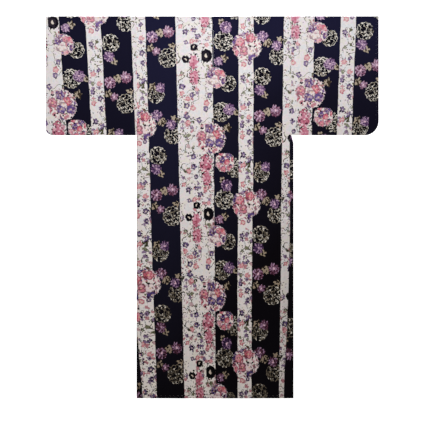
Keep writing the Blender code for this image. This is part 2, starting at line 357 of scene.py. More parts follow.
# Tones of motifs in several colours, each up to the next one's share
cottonMixes = {
    "whites": ((0.0, "#ebeaed"), (0.42, "#f3edeb"), (0.5, "#f2e6ef"), (0.57, "#efeae3")),
    "blossoms": ((0.0, "#d9aab0"), (0.4, "#b5a0b9"), (0.65, "#dcc3c5"), (0.85, "#a9a890")),
    "specks": ((0.0, "#80666f"), (0.25, "#b0727e"), (0.4, "#5d6149"), (0.65, "#2b2128")),
    "outlines": ((0.0, "#4b3556"), (0.2, "#cf8590"), (0.6, "#0e0a0e"), (0.8, "#5d624d")),
    "middles": ((0.0, "#a08bb0"), (0.2, "#e9b6bb"), (0.6, "#332c38"), (0.8, "#a9ac98")),
    "wisteria": (
        (0.0, "#c97089"), (0.25, "#da93a8"), (0.6, "#e8b7c4"), (0.82, "#7c3e58"), (0.91, "#f1dce0"),
    ),
    "blooms": (
        (0.0, "#de7d90"), (0.34, "#f3e8e6"), (0.5, "#8167a3"), (0.68, "#e49aaa"), (0.92, "#f3e8e6"),
    ),
    "ball": (
        (0.0, "#f3eae6"), (0.3, "#d597a2"), (0.46, "#4a3244"), (0.55, "#a09f80"),
        (0.62, "#ecd6da"), (0.82, "#8f74a6"), (0.9, "#f5efec"),
    ),
}


def layOver(add, ground, layers):
    # lays colours over a ground, each where its mask says
    for mask, colour in layers:
        ground = add("Mix", {0: mask, 6: ground, 7: colour}, data_type="RGBA")
    return ground


def dyeGround(add, paintedShade, shadeDepth):
    # Navy, darker towards the hem, the right and the left sleeve as painted shade. The painted shade's
    # deepening is undone here, as it deepens every colour later.
    ground = add("Mix", {0: paintedShade, 6: tone["navy"], 7: tone["nearlyBlack"]}, data_type="RGBA")
    shadeUndone = add("Math", [1.0, shadeDepth], operation="DIVIDE")
    return add("Gamma", [ground, shadeUndone])


# Each of the prints that follow gives its layers, a mask and a colour each, the last one on top.
def printLattices(add, at):
    # Round lattices of curling sand-coloured lines over black, some duller at random and more of them
    # dulled by painted shade towards the hem
    ball = layMotif(add, at, at.place, latticeBall)
    net = add(
        "TexVoronoi", {"Vector": at.curled, "Scale": 1 / 13},
        voronoi_dimensions="2D", feature="DISTANCE_TO_EDGE",
    )
    line = add("Math", [net, 0.12], operation="LESS_THAN")
    rim = add("Math", [ball["share"], 0.94], operation="GREATER_THAN")
    line = add("Math", [line, rim], operation="MAXIMUM")
    line = add("Math", [line, at.whole], operation="MULTIPLY")
    # lines duller at random, and as painted shade more of them towards the hem
    fadedAndShaded = add("Math", [at.downRobe, 0.65, at.crumb[0]], operation="MULTIPLY_ADD")
    fadedAndShaded = add("Math", [fadedAndShaded, 0.78], operation="GREATER_THAN")
    sand = add("Mix", {0: fadedAndShaded, 6: tone["latticeLine"], 7: tone["latticeShade"]}, data_type="RGBA")
    lattice = add("Mix", {0: line, 6: tone["latticeHole"], 7: sand}, data_type="RGBA")
    return [(ball["inside"], lattice)]


def printLeaves(add, at):
    # Pale lobes with dark between
    spray = layMotif(add, at, at.bent, leafSpray)
    shaded = add("Math", [at.crumb[1], 0.58], operation="GREATER_THAN")
    leaves = add("Mix", {0: shaded, 6: tone["leaf"], 7: tone["leafShade"]}, data_type="RGBA")
    return [(spray["inside"], leaves)]


def printChrysanthemums(add, at):
    # Rings of narrow petals, lilac or rosy, dark between them
    mum = layMotif(add, at, at.bent, chrysanthemum)
    rings = add("Math", [mum["away"], 2.7], operation="MULTIPLY")
    ring = add("Math", [rings], operation="FLOOR")
    turned = add("Math", [ring, 0.45, angleOf(add, mum["off"])], operation="MULTIPLY_ADD")
    petal = add("Math", [lobeAt(add, turned, 10), at.crumb[1]], operation="ADD")
    # painted shade: petals darker towards the hem
    petal = add("Math", [at.downRobe, -0.22, petal], operation="MULTIPLY_ADD")
    rosy = add("Math", [at.downRobe, 0.7, mum["kind"]], operation="MULTIPLY_ADD")
    rosy = add("Math", [rosy, 0.84], operation="GREATER_THAN")
    bloom = layOver(add, tone["lilac"], [
        (rosy, tone["rose"]),
        (add("Math", [petal, 0.62], operation="LESS_THAN"), tone["petalGap"]),
        (add("Math", [petal, 1.28], operation="GREATER_THAN"), tone["petalTip"]),
        (add("Math", [mum["away"], 0.17], operation="LESS_THAN"), tone["heart"]),
    ])
    return [(mum["inside"], bloom)]


def dyeWhite(add, at):
    # The white ground, barely tinted, with thin stems
    white = add("ValToRGB", [at.tint], toned(cottonMixes["whites"]))
    low = add("Math", [at.downRobe, 0.7], operation="MULTIPLY")
    white = add("Mix", {0: low, 6: white, 7: tone["whiteAtHem"]}, data_type="RGBA")
    stem = add("Math", [at.sway, 0.5, 0.011], operation="COMPARE")
    here = add("Math", [at.patches, 0.44], operation="GREATER_THAN")
    stem = add("Math", [stem, here], operation="MULTIPLY")
    return add("Mix", {0: stem, 6: white, 7: tone["stem"]}, data_type="RGBA")


def scatterBlossoms(add, at):
    # Tiny blossoms paler than the charted ones, then specks, denser in patches and towards the hem
    thicker = add("Math", [at.sway, 2.5], operation="MULTIPLY")
    thicker = add("Math", [at.downRobe, 0.65, thicker], operation="MULTIPLY_ADD")
    layers = []
    for tones, spacing, limit, radius, petals in (
        ("blossoms", 24, 2.18, 0.38, 5),
        ("specks", 12, 1.98, 0.22, 4),
    ):
        scatter = add(
            "TexVoronoi", {"Vector": at.bent, "Scale": 1 / spacing, "Randomness": 0.9},
            voronoi_dimensions="2D",
        )
        pick = add("SeparateColor", [scatter.outputs["Color"]])
        off = add("VectorMath", [at.bent, scatter.outputs["Position"]], operation="SUBTRACT")
        share = petalShare(add, off, scatter, petals, 0.6)
        inside = add("Math", [share, radius], operation="LESS_THAN")
        chosen = add("Math", [thicker, pick.outputs[0]], operation="ADD")
        chosen = add("Math", [chosen, limit], operation="GREATER_THAN")
        inside = add("Math", [inside, chosen], operation="MULTIPLY")
        layers.append((inside, add("ValToRGB", [pick.outputs[1]], toned(cottonMixes[tones]))))
    return layers


def printSmallFlowers(add, at):
    # A darker, broken outline round a pale middle. Camellias have no notches.
    flower = layMotif(add, at, at.bent, smallFlower)
    camellia = add("Math", [flower["kind"], 0.7, 0.05], operation="COMPARE")
    share = add("Mix", {0: camellia, 2: flower["share"], 3: flower["away"]})
    outline = add("ValToRGB", [flower["kind"]], toned(cottonMixes["outlines"]))
    middle = add("ValToRGB", [flower["kind"]], toned(cottonMixes["middles"]))
    outer = add("Math", [share, 0.6], operation="GREATER_THAN")
    inked = add("Math", [at.crumb[2], 0.4], operation="GREATER_THAN")
    outer = add("Math", [outer, inked], operation="MULTIPLY")
    bloom = add("Mix", {0: outer, 6: middle, 7: outline}, data_type="RGBA")
    heart = add("Math", [share, 0.26], operation="LESS_THAN")
    bloom = add("Mix", {0: heart, 6: bloom, 7: tone["smallHeart"]}, data_type="RGBA")
    return [(add("Math", [share, 1.0], operation="LESS_THAN"), bloom)]


def printWisteria(add, at):
    # Long clusters of pink blossoms among dark leaves
    cluster = layMotif(add, at, at.place, wisteria)
    share = add("Math", [at.patches, 1.2, cluster["away"]], operation="MULTIPLY_ADD")
    around = add("Math", [share, 1.75], operation="LESS_THAN")
    leafy = add("Math", [at.crumb[1], 0.7], operation="GREATER_THAN")
    leafy = add("Math", [leafy, around], operation="MULTIPLY")
    inside = add("Math", [share, 1.45], operation="LESS_THAN")
    pink = add("ValToRGB", [at.crumb[0]], toned(cottonMixes["wisteria"]))
    return [(leafy, tone["wisteriaLeaf"]), (inside, pink)]


def printFlowerBalls(add, at):
    # A few big blooms on a ground of small ones, over everything else
    ball = layMotif(add, at, at.place, flowerBall)
    ragged = add("Math", [at.crumb[2], 0.14, ball["away"]], operation="MULTIPLY_ADD")
    shift = add("VectorMath", {0: (7.3, 3.1, 0), "Scale": ball["kind"]}, operation="SCALE")
    posy = add("VectorMath", [ball["off"], shift], operation="ADD")
    blooms = add("TexVoronoi", {"Vector": posy, "Scale": 1.45, "Randomness": 0.75}, voronoi_dimensions="2D")
    off = add("VectorMath", [posy, blooms.outputs["Position"]], operation="SUBTRACT")
    share = petalShare(add, off, blooms, 5, 0.8)
    pick = add("SeparateColor", [blooms.outputs["Color"]])
    bloom = add("ValToRGB", [pick.outputs[0]], toned(cottonMixes["blooms"]))
    for measure, test, limit, amount, name in (
        (at.crumb[2], "GREATER_THAN", 0.52, 0.5, "bloomPale"),
        (at.crumb[1], "LESS_THAN", 0.27, 0.55, "bloomDeep"),
        (share, "GREATER_THAN", 0.42, 0.35, "bloomShade"),
        (share, "LESS_THAN", 0.08, 1.0, "bloomHeart"),
    ):
        here = add("Math", [measure, limit], operation=test)
        here = add("Math", [here, amount], operation="MULTIPLY")
        bloom = add("Mix", {0: here, 6: bloom, 7: tone[name]}, data_type="RGBA")
    small = add("ValToRGB", [at.crumb[0]], toned(cottonMixes["ball"]))
    inBloom = add("Math", [share, 0.5], operation="LESS_THAN")
    flowers = add("Mix", {0: inBloom, 6: small, 7: bloom}, data_type="RGBA")
    rim = add("Math", [ragged, 1.03], operation="GREATER_THAN")
    rim = add("Math", [rim, at.whole], operation="MULTIPLY")
    flowers = add("Mix", {0: rim, 6: flowers, 7: tone["ballRim"]}, data_type="RGBA")
    return [(add("Math", [ragged, 1.07], operation="LESS_THAN"), flowers)]


def paintShadeAndCreaseLight(add, at, printed, paintedShade, shadeDepth):
    # Painted shade: every colour deeper and greyer towards the hem, and no darker than the darkest tone,
    # which is lower there; then a painted highlight along a crease at the right side
    printed = add("Gamma", [printed, shadeDepth])
    strength = add("Math", [at.downRobe, -0.16, 0.97], operation="MULTIPLY_ADD")
    printed = add("HueSaturation", {"Saturation": strength, "Color": printed})
    # the darkest a colour goes, lower in the painted shade towards the hem
    darkest = add("Mix", {0: paintedShade, 6: tone["darkest"], 7: tone["darkestAtHem"]}, data_type="RGBA")
    printed = add("VectorMath", [printed, darkest], operation="MAXIMUM")
    # a painted highlight: a line mixed towards white along the crease, on the right side
    atFold = add("Math", [at.downCloth, *cottonLook["wornFold"]], operation="COMPARE")
    atSide = add("Math", [at.acrossCloth, cottonLook["rightSide"][0]], operation="GREATER_THAN")
    creaseLight = add("Math", [atFold, atSide], operation="MULTIPLY")
    creaseLight = add("Math", [creaseLight, 0.45], operation="MULTIPLY")
    return add("Mix", {0: creaseLight, 6: printed, 7: (1, 1, 1, 1)}, data_type="RGBA")


def makePrintedCotton():
    material, shader = newMaterial("plain weave printed cotton")
    tree = material.node_tree
    add = partial(addNode, tree)
    at = layCloth(add)

    # painted shade: how much darker the ground is than at the top, and how much deeper every colour is
    # towards the hem
    toRight = add("MapRange", [at.acrossRobe, *cottonLook["blackerToRight"]])
    belowTop = add("MapRange", [at.downRobe, 0.05, 0.22, 0.15, 1.0])
    onSleeve = add("MapRange", [at.acrossRobe, *cottonLook["blackerOnSleeve"]])
    paintedShade = add("Math", [toRight, belowTop, onSleeve], operation="MULTIPLY_ADD")
    paintedShade = add("Math", [at.downRobe, paintedShade], operation="ADD")
    paintedShade = add("MapRange", [paintedShade, 0.0, 1.0, 0.0, 1.0])
    shadeDepth = add("Math", [at.downRobe, cottonLook["deeperTowardsHem"], 1.03], operation="MULTIPLY_ADD")

    # the dark stripes over the white ones, with a small wavering of every printed edge
    waver = add(
        "TexNoise", {"Vector": at.cloth, "Scale": 1000 / printRepeat["waverLength"], "Detail": 1.0},
        noise_dimensions="2D",
    )
    wavered = add("Math", [waver, 2 * printRepeat["waver"], at.across], operation="MULTIPLY_ADD")
    trueAcross = add("Math", [wavered, printRepeat["waver"]], operation="SUBTRACT")
    inStripes = [
        add("Math", [trueAcross, (low + high) / 2, (high - low) / 2], operation="COMPARE")
        for low, high in printRepeat["darkStripes"]
    ]
    inDark = add("Math", inStripes, operation="MAXIMUM")
    dark = layOver(add, dyeGround(add, paintedShade, shadeDepth), [
        *printLattices(add, at), *printLeaves(add, at), *printChrysanthemums(add, at),
    ])
    printed = layOver(add, dyeWhite(add, at), [
        *scatterBlossoms(add, at), *printSmallFlowers(add, at), *printWisteria(add, at),
        (inDark, dark), *printFlowerBalls(add, at),
    ])
    printed = paintShadeAndCreaseLight(add, at, printed, paintedShade, shadeDepth)

    # slubs in the yarn darken and lighten the cloth a little, and painted shade makes the right side greyer
    # towards the hem
    slub = add(
        "TexNoise",
        {"Vector": at.cloth, "Scale": 1000 / cottonLook["slub"], "Detail": 4.0, "Roughness": 0.6},
        noise_dimensions="2D",
    )
    slubTone = add("MapRange", [slub, 0.3, 0.7, 0.94, 1.04])
    outwards = add("MapRange", [at.acrossCloth, *cottonLook["rightSide"], 0.0, 1.0])
    lower = add("MapRange", [at.downRobe, 0.25, 0.75, 0.05, 0.18])
    # painted shade greying the right side, more towards the hem
    sideShade = add("Math", [outwards, lower], operation="MULTIPLY")
    kept = add("Math", [1.0, sideShade], operation="SUBTRACT")
    slubTone = add("Math", [slubTone, kept], operation="MULTIPLY")
    dyed = add("VectorMath", {0: printed, "Scale": slubTone}, operation="SCALE")
    tree.links.new(dyed.outputs[0], shader.inputs["Base Color"])

    # plain weave: threads over and under each other
    turns = math.pi * 1000 / cottonLook["yarn"]
    threads = add("SeparateXYZ", [add("VectorMath", {0: at.cloth, "Scale": turns}, operation="SCALE")])
    warp = add("Math", [threads.outputs[0]], operation="SINE")
    weft = add("Math", [threads.outputs[1]], operation="SINE")
    weave = add("Math", [warp, weft], operation="MULTIPLY")
    grain = add("Math", [slub, 0.8, weave], operation="MULTIPLY_ADD")
    bump = add("Bump", {"Strength": 0.35, "Distance": 0.00025, "Height": grain})
    tree.links.new(bump.outputs[0], shader.inputs["Normal"])
    roughness = cottonLook["roughness"]
    rough = add("MapRange", [slub, 0.3, 0.7, roughness - 0.05, roughness + 0.06])
    tree.links.new(rough.outputs[0], shader.inputs["Roughness"])
    shader.inputs["Sheen Weight"].default_value = cottonLook["sheen"]
    shader.inputs["Sheen Roughness"].default_value = 0.5
    shader.inputs["Specular IOR Level"].default_value = 0.08
    return material


printedCotton = makePrintedCotton()
print("printed cotton made,", len(printedCotton.node_tree.nodes), "nodes")

# How the photo shows the print: its stripes run together towards the hem. In metres across the robe.
printLay = {
    "stripeX": -0.1544,  # the wide white stripe's left edge at the shoulder
    "vanishX": 0.1296,  # the place across that the stripes lean towards
    "lean": 0.0863,  # how much narrower they are, for each metre down
}


def printPlace(x, drop, panel):
    # A point of the robe on the cloth's print, in metres across and down the cloth
    straight = printLay["vanishX"] + (x - printLay["vanishX"]) / (1 - printLay["lean"] * drop)
    for startX, amount, fromDrop, toDrop in panel["spreads"]:
        beyond = max(panel["sign"] * (straight - startX), 0.0)
        straight -= panel["sign"] * amount * smooth((drop - fromDrop) / (toDrop - fromDrop)) * beyond
    return (straight - printLay["stripeX"] + panel["printAcross"], drop + panel["printDown"])


cloth = {
    "thickness": 0.0009,  # drawn about twice as thick as the real cloth
    "cadWall": 0.0012,
    "gap": 0.0003,
    "cell": 0.0052,  # between points on the upper side
    "hiddenCell": 0.030,
    "rim": 0.0008,  # the width of the last cell before an edge
}
layer = cloth["cadWall"] + cloth["gap"]

# Soft folds, as in the frame: middle, run, slant in degrees, bow, half width, height
softFolds = (
    (-0.205, -0.330, 0.760, -2, 0.012, 0.030, 0.0026),
    (-0.085, -0.540, 0.460, 3, -0.010, 0.028, 0.0020),
    (0.060, -0.300, 0.620, 2, 0.014, 0.032, 0.0022),
    (0.215, -0.450, 0.640, 4, -0.012, 0.030, 0.0028),
    (-0.225, 0.330, 0.420, -24, 0.016, 0.032, 0.0024),
    (0.222, 0.345, 0.380, 22, -0.014, 0.032, 0.0024),
    (-0.110, 0.130, 0.520, -6, 0.010, 0.034, 0.0018),
    (0.135, 0.080, 0.440, 7, -0.010, 0.032, 0.0018),
    (-0.560, 0.560, 0.400, 8, 0.014, 0.030, 0.0026),
    (-0.440, 0.520, 0.340, -10, -0.012, 0.030, 0.0022),
    (-0.640, 0.470, 0.240, -14, 0.008, 0.026, 0.0018),
    (0.470, 0.540, 0.380, -8, 0.012, 0.030, 0.0024),
    (0.600, 0.500, 0.320, 12, -0.010, 0.030, 0.0022),
)

# Creases from being folded away: drop below the shoulder, from, to across, height
# Each rises steeply over the foot and sinks again over a longer way towards the hem.
storageCreases = (
    (0.490, -0.300, 0.300, 0.0008),
    (0.848, -0.310, 0.345, 0.0027),
    (1.134, -0.300, 0.325, 0.0018),
    (1.380, -0.290, 0.100, 0.0007),
)
creaseFoot = 0.0056
creaseRows = (-0.006, -0.0038, -0.0019, 0.0, 0.003)  # rows of points from its foot to past its top


def wrinkleHeight(x, y):
    # soft folds, storage creases and the shallow unevenness of cotton that lies by itself
    total = 0.0
    for foldX, foldY, run, turn, bow, halfWidth, height in softFolds:
        slant = math.radians(turn)
        down = (y - foldY) * math.cos(slant) - (x - foldX) * math.sin(slant)
        side = (x - foldX) * math.cos(slant) + (y - foldY) * math.sin(slant)
        share = 2 * down / run
        if abs(share) < 1:
            off = (side - bow * (1 - share * share)) / halfWidth
            total += height * math.exp(-off * off) * math.cos(share * math.pi / 2) ** 2
    drop = shoulderY - y
    for creaseDrop, fromX, toX, height in storageCreases:
        wander = 0.0008 * math.sin(x * 17 + creaseDrop * 40)
        off = (drop - creaseDrop - wander) / creaseFoot
        if -1 < off < 16 and fromX < x < toX:
            fade = smooth((x - fromX) / 0.05) * smooth((toX - x) / 0.02)
            total += height * fade * min(smooth(1 + off), math.exp(-max(off, 0.0) * 0.3))
    place = Vector((x * 9, y * 6, 0))
    total += 0.0009 * (noise.noise(place) + 0.6)
    total += 0.00035 * (noise.noise(place * 3.1) + 0.5)
    return max(total, 0.0)


def layersCrossing(x):
    # 1 where both fronts lie under the back, 0 where only one does
    return smooth((0.190 - abs(x)) / 0.040)


def levelHeight(level):
    return cloth["cadWall"] / 2 + level * layer


def steps(stops, size):
    # the stops, with points between them no more than size apart
    points = [stops[0]]
    for start, end in zip(stops, stops[1:]):
        count = max(1, math.ceil(abs(end - start) / size))
        points += [between(start, end, index / count) for index in range(1, count + 1)]
    return points


def makeSheet(name, node, columns, rows, place, printAt, kept=None):
    # A grid of cloth, each point put where it lies, with its place on the print in a UV map
    mesh = bmesh.new()
    bmesh.ops.create_grid(mesh, x_segments=len(columns) - 1, y_segments=len(rows) - 1, size=1.0)
    placed = {}
    for vert in mesh.verts:
        column = round((vert.co.x + 1) / 2 * (len(columns) - 1))
        row = round((vert.co.y + 1) / 2 * (len(rows) - 1))
        placed[vert] = (column, row)
    if kept:
        dropped = []
        for face in mesh.faces:
            farColumn = columns[max(placed[vert][0] for vert in face.verts)]
            farRow = rows[max(placed[vert][1] for vert in face.verts)]
            if not kept(farColumn, farRow):
                dropped.append(face)
        bmesh.ops.delete(mesh, geom=dropped, context="FACES")
    uvLayer = mesh.loops.layers.uv.new("clothPlace")
    for face in mesh.faces:
        farRow = rows[max(placed[vert][1] for vert in face.verts)]
        face.smooth = True
        for loop in face.loops:
            column, row = placed[loop.vert]
            loop[uvLayer].uv = printAt(columns[column], rows[row], farRow[0])
    for vert in mesh.verts:
        column, row = placed[vert]
        vert.co = place(columns[column], rows[row])
    piece = placeMesh(mesh, name, printedCotton)
    wall = piece.modifiers.new("thickness", "SOLIDIFY")
    wall.thickness = cloth["thickness"]
    wall.offset = 0.0
    wall.use_even_offset = True
    wall.use_quality_normals = True
    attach(piece, "root")
    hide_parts(node)
    print("made", name, "with", len(piece.data.polygons), "faces")
    return piece


# The body lengths. rolls: drop, and how much of the front shows there on top
# spreads: stripes beyond a place lie wider by this share, fully so from the second drop
bodySides = {
    "left": {
        "sign": -1,
        "armhole": 0.3155,
        "frontLevel": 0,
        "rolls": ((0.501, 0.0030), (1.12, 0.0030), (1.27, 0.0155), (1.36, 0.0205), (1.602, 0.0330)),
        "printAcross": 0.0,
        "printDown": 0.0,
        "spreads": ((-0.170, 0.055, 0.1, 1.1), (-0.2814, 0.24, 0.5, 1.1)),
        "frontAcross": 0.651,
        "frontDown": 0.027,
        "frontLean": 0.085,
    },
    "right": {
        "sign": 1,
        "armhole": 0.3318,
        "frontLevel": 1,
        "rolls": (
            (0.501, 0.0164), (0.89, 0.0147), (1.04, 0.0185), (1.15, 0.0212),
            (1.32, 0.0278), (1.50, 0.0380), (1.602, 0.0405),
        ),
        "printAcross": 0.0,
        "printDown": 0.0,
        "spreads": ((-0.050, -0.045, 0.6, 1.15), (0.130, 0.10, 0.6, 1.15)),
        "frontAcross": 0.060,
        "frontDown": 0.487,
        "frontLean": 0.0,
    },
}
bodyShape = {
    "neck": 0.090,
    "frontEdge": 0.080,
    "tipDrop": 0.230,
    "seamTop": 0.006,
    "seamHem": 0.015,
    "pastSeam": 0.030,
    "sleeveDepth": shoulderY - sleeveBottomY,
    "evenTo": 0.270,  # points lie evenly up to here, and spread over the rest as far as the edge
    "edgeCells": 9,
    "foldCells": 6,
}


def readRoll(rolls, drop):
    for upper, lower in zip(rolls, rolls[1:]):
        if drop <= lower[0]:
            return between(upper[1], lower[1], max((drop - upper[0]) / (lower[0] - upper[0]), 0.0))
    return rolls[-1][1]


def makeBody(name, node, side):
    low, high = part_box(node)
    outline = max(-low.x, high.x)
    stepDrop = bodyShape["sleeveDepth"] + 0.002
    turns = bodyShape["foldCells"]
    columns = [("centre", share) for share in (0.0, 0.03, 0.2, 0.4, 0.6, 0.8)]
    columns += [("neck", x) for x in steps([bodyShape["pastSeam"], bodyShape["neck"]], cloth["cell"])[:-1]]
    columns += [("frontEdge", bodyShape["neck"])]
    columns += [("panel", x) for x in steps([bodyShape["neck"], bodyShape["evenTo"]], cloth["cell"])[1:]]
    columns += [("toEdge", index / bodyShape["edgeCells"]) for index in range(1, bodyShape["edgeCells"])]
    columns += [("toEdge", 0.98), ("edge", 1.0)]
    columns += [("roll", math.pi * index / turns) for index in range(1, turns + 1)]
    columns += [("rolled", 0.5), ("rolled", 0.95), ("rolled", 1.0)]
    stops = [0.0] + [bodyShape["sleeveDepth"] + 0.0005] + [roll[0] for roll in side["rolls"]]
    creaseStops = [crease[0] + off for crease in storageCreases for off in creaseRows]
    back = [max(drop, 0.003) for drop in steps(sorted(stops + creaseStops), cloth["cell"])][1:]
    back.insert(-1, robeLength - cloth["rim"])
    front = steps([0.0, bodyShape["tipDrop"]] + stops[1:], cloth["hiddenCell"])[1:]
    rows = [("back", drop) for drop in reversed(back)]
    rows += [("shoulder", math.pi * index / turns) for index in range(turns + 1)]
    rows += [("front", drop) for drop in front]

    def sideEdge(part, drop):
        if drop < stepDrop:
            return side["armhole"]
        if part == "front":
            return outline - cloth["cadWall"] / 2 - layer / 2
        return outline - readRoll(side["rolls"], drop) - cloth["gap"]

    def dropOf(row):
        return 0.0 if row[0] == "shoulder" else row[1]

    def acrossOf(column, row):
        drop = dropOf(row)
        edge = sideEdge(row[0], drop)
        if column[0] == "centre":
            lean = between(bodyShape["seamTop"], bodyShape["seamHem"], drop / robeLength)
            seam = cloth["gap"] / 2 + side["sign"] * lean
            return between(seam, bodyShape["pastSeam"], column[1]), edge
        if column[0] == "frontEdge" and row[0] == "front":
            reach = min(drop / bodyShape["tipDrop"], 1.0)
            return between(bodyShape["neck"], bodyShape["frontEdge"], reach), edge
        if column[0] == "toEdge":
            return between(bodyShape["evenTo"], edge, column[1]), edge
        if column[0] == "edge":
            return edge, edge
        if column[0] == "roll":
            return edge + layer / 2 * math.sin(column[1]), edge
        if column[0] == "rolled":
            return between(edge, outline - readRoll(side["rolls"], drop), column[1]), edge
        return column[1], edge

    def frontHeight(x):
        return levelHeight(side["frontLevel"] * layersCrossing(x))

    def backHeight(x, y, edge):
        calm = smooth((edge - abs(x)) / 0.035) * smooth((shoulderY - y) / 0.045)
        seam = abs(x - between(bodyShape["seamTop"], bodyShape["seamHem"], (shoulderY - y) / robeLength))
        groove = -0.0003 * math.exp(-(seam / 0.0040) ** 2)
        allowance = 0.0002 * smooth((0.016 - abs(x + 0.002)) / 0.006) if x < 0.012 else 0.0
        sideRidge = 0.0004 * smooth((0.014 - abs(edge - 0.010 - abs(x))) / 0.004)
        hemRidge = 0.0004 * smooth((0.0115 - (y - hemY)) / 0.002)
        base = levelHeight(1 + layersCrossing(x))
        return base + wrinkleHeight(x, y) * calm + groove + allowance + sideRidge + hemRidge

    def place(column, row):
        x, edge = acrossOf(column, row)
        worldX = side["sign"] * x
        if row[0] == "shoulder":
            upper = backHeight(worldX, shoulderY - 0.003, edge)
            lower = frontHeight(x)
            radius = (upper - lower) / 2
            y = shoulderY - cloth["cadWall"] / 2 - radius + radius * math.sin(row[1])
            return (worldX, y, (upper + lower) / 2 + radius * math.cos(row[1]))
        y = shoulderY - row[1]
        if row[0] == "back":
            return (worldX, y, backHeight(worldX, y, edge))
        z = frontHeight(x)
        if column[0] == "roll":
            z = levelHeight(0.5) - layer / 2 * math.cos(column[1])
        elif column[0] == "rolled":
            z = levelHeight(1)
        return (worldX, y, z)

    def printAt(column, row, facePart):
        x, edge = acrossOf(column, row)
        drop = dropOf(row)
        if facePart != "front":
            return printPlace(side["sign"] * x, drop, side)
        if column[0] == "roll":
            x = edge + layer / 2 * column[1]
        elif column[0] == "rolled":
            inner = outline - readRoll(side["rolls"], drop)
            x = edge + layer * 1.6 + (edge - inner) * column[1]
        lean = side["frontLean"] * (drop - 1.35)
        return (side["sign"] * x + side["frontAcross"] + lean, -drop + side["frontDown"])

    def kept(column, row):
        if column[0] in ("centre", "neck", "frontEdge"):
            return row[0] == "back" or (row[0] == "shoulder" and row[1] == 0.0)
        if column[0] in ("roll", "rolled"):
            return row[0] == "front" and row[1] > stepDrop
        return True

    return makeSheet(name, node, columns, rows, place, printAt, kept)


bodyPieces = {}
for word, side in bodySides.items():
    bodyPieces[word] = makeBody(word + "BodyLength", "body_" + word, side)

# The sleeves: one length each, folded at the shoulder
sleeveSides = {
    "left": {
        "sign": -1,
        "armhole": 0.3155,
        "corner": 0.030,
        "printAcross": 0.643,
        "printDown": 0.140,
        "spreads": (),
    },
    "right": {
        "sign": 1,
        "armhole": 0.3318,
        "corner": 0.059,
        "printAcross": 0.026,
        "printDown": -0.141,
        "spreads": (),
    },
}
sleeveShape = {
    "cornerCells": 10,
    "foldCells": 6,
    "underCells": 16,
}


def makeSleeve(name, node, side):
    low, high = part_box(node)
    outer = max(-low.x, high.x)
    bottom = low.y
    corner = side["corner"]
    top = shoulderY - cloth["cadWall"] / 2 - layer / 2
    straight = steps([side["armhole"] + cloth["gap"], outer - corner], cloth["cell"])
    straight.insert(1, straight[0] + cloth["rim"])
    columns = [("straight", x) for x in straight]
    turns = sleeveShape["cornerCells"]
    columns += [("corner", math.pi / 2 * index / turns) for index in range(1, turns + 1)]
    columns.insert(-1, ("corner", math.pi / 2 * 0.985))
    backRows = round((top - bottom) / cloth["cell"])
    rows = [("back", 1 - row / backRows) for row in range(backRows)]
    rows.insert(1, ("back", 1 - cloth["rim"] / (top - bottom)))
    turns = sleeveShape["foldCells"]
    rows += [("shoulder", math.pi * index / turns) for index in range(turns + 1)]
    rows += [("front", (row + 1) / sleeveShape["underCells"]) for row in range(sleeveShape["underCells"])]

    def acrossOf(column):
        if column[0] == "corner":
            x = outer - corner + corner * math.sin(column[1])
            return x, bottom + corner - corner * math.cos(column[1])
        return column[1], bottom

    def place(column, row):
        x, edgeY = acrossOf(column)
        worldX = side["sign"] * x
        if row[0] == "shoulder":
            radius = layer / 2
            y = shoulderY - cloth["cadWall"] / 2 - radius + radius * math.sin(row[1])
            return (worldX, y, levelHeight(0.5) + radius * math.cos(row[1]))
        y = between(top, edgeY, row[1])
        if row[0] == "front":
            return (worldX, y, levelHeight(0))
        calm = smooth((x - side["armhole"]) / 0.035) * smooth((shoulderY - y) / 0.045)
        calm *= smooth((y - edgeY) / 0.030) * between(0.4, 1.0, smooth((outer - x) / 0.030))
        cuffRidge = 0.0004 * smooth((0.0115 - (outer - x)) / 0.002)
        return (worldX, y, levelHeight(1) + wrinkleHeight(worldX, y) * calm + cuffRidge)

    def printAt(column, row, facePart):
        x, edgeY = acrossOf(column)
        drop = 0.0 if row[0] == "shoulder" else shoulderY - between(top, edgeY, row[1])
        if facePart == "front":
            return (side["sign"] * x - printLay["stripeX"] + side["printAcross"], -drop + side["printDown"])
        return printPlace(side["sign"] * x, drop, side)

    return makeSheet(name, node, columns, rows, place, printAt)


sleevePieces = {}
for word, side in sleeveSides.items():
    sleevePieces[word] = makeSleeve(word + "Sleeve", "sleeve_" + word, side)

# The overlap panels and the collar, which lie underneath
underneath = {
    "hemWidth": 0.150,
    "collarWidth": 0.140,
    "collarEnd": 0.800,
    "collarAtNeck": 0.055,
    "collarAtEnd": 0.075,
    "mitre": 0.0767,  # the collar has turned the corner of the neck this far down
    "overlapCells": (10, 40),
    "collarCells": 8,
    "collarCell": 0.020,
}


def overlapReach(share):
    return between(underneath["hemWidth"], underneath["collarWidth"], share) - bodyShape["frontEdge"]


def makeOverlap(name, node, side):
    across, along = underneath["overlapCells"]
    columns = [("column", index / across) for index in range(across + 1)]
    rows = [("row", index / along) for index in range(along + 1)]
    edge = bodyShape["frontEdge"]

    def place(column, row):
        topX = between(edge - cloth["gap"], -overlapReach(1.0), column[1])
        hemX = between(edge - cloth["gap"], -overlapReach(0.0), column[1])
        reach = (edge - topX) / (edge + overlapReach(1.0))
        topY = shoulderY - between(bodyShape["tipDrop"], underneath["collarEnd"], reach)
        x = between(hemX, topX, row[1])
        return (side["sign"] * x, between(hemY, topY, row[1]), levelHeight(side["frontLevel"]))

    def printAt(column, row, facePart):
        x, y, z = place(column, row)
        return (x + side["frontAcross"] + 0.11, y - shoulderY + side["frontDown"])

    return makeSheet(name, node, columns, rows, place, printAt)


for word, side in bodySides.items():
    makeOverlap(word + "OverlapPanel", "overlap_" + word, side)


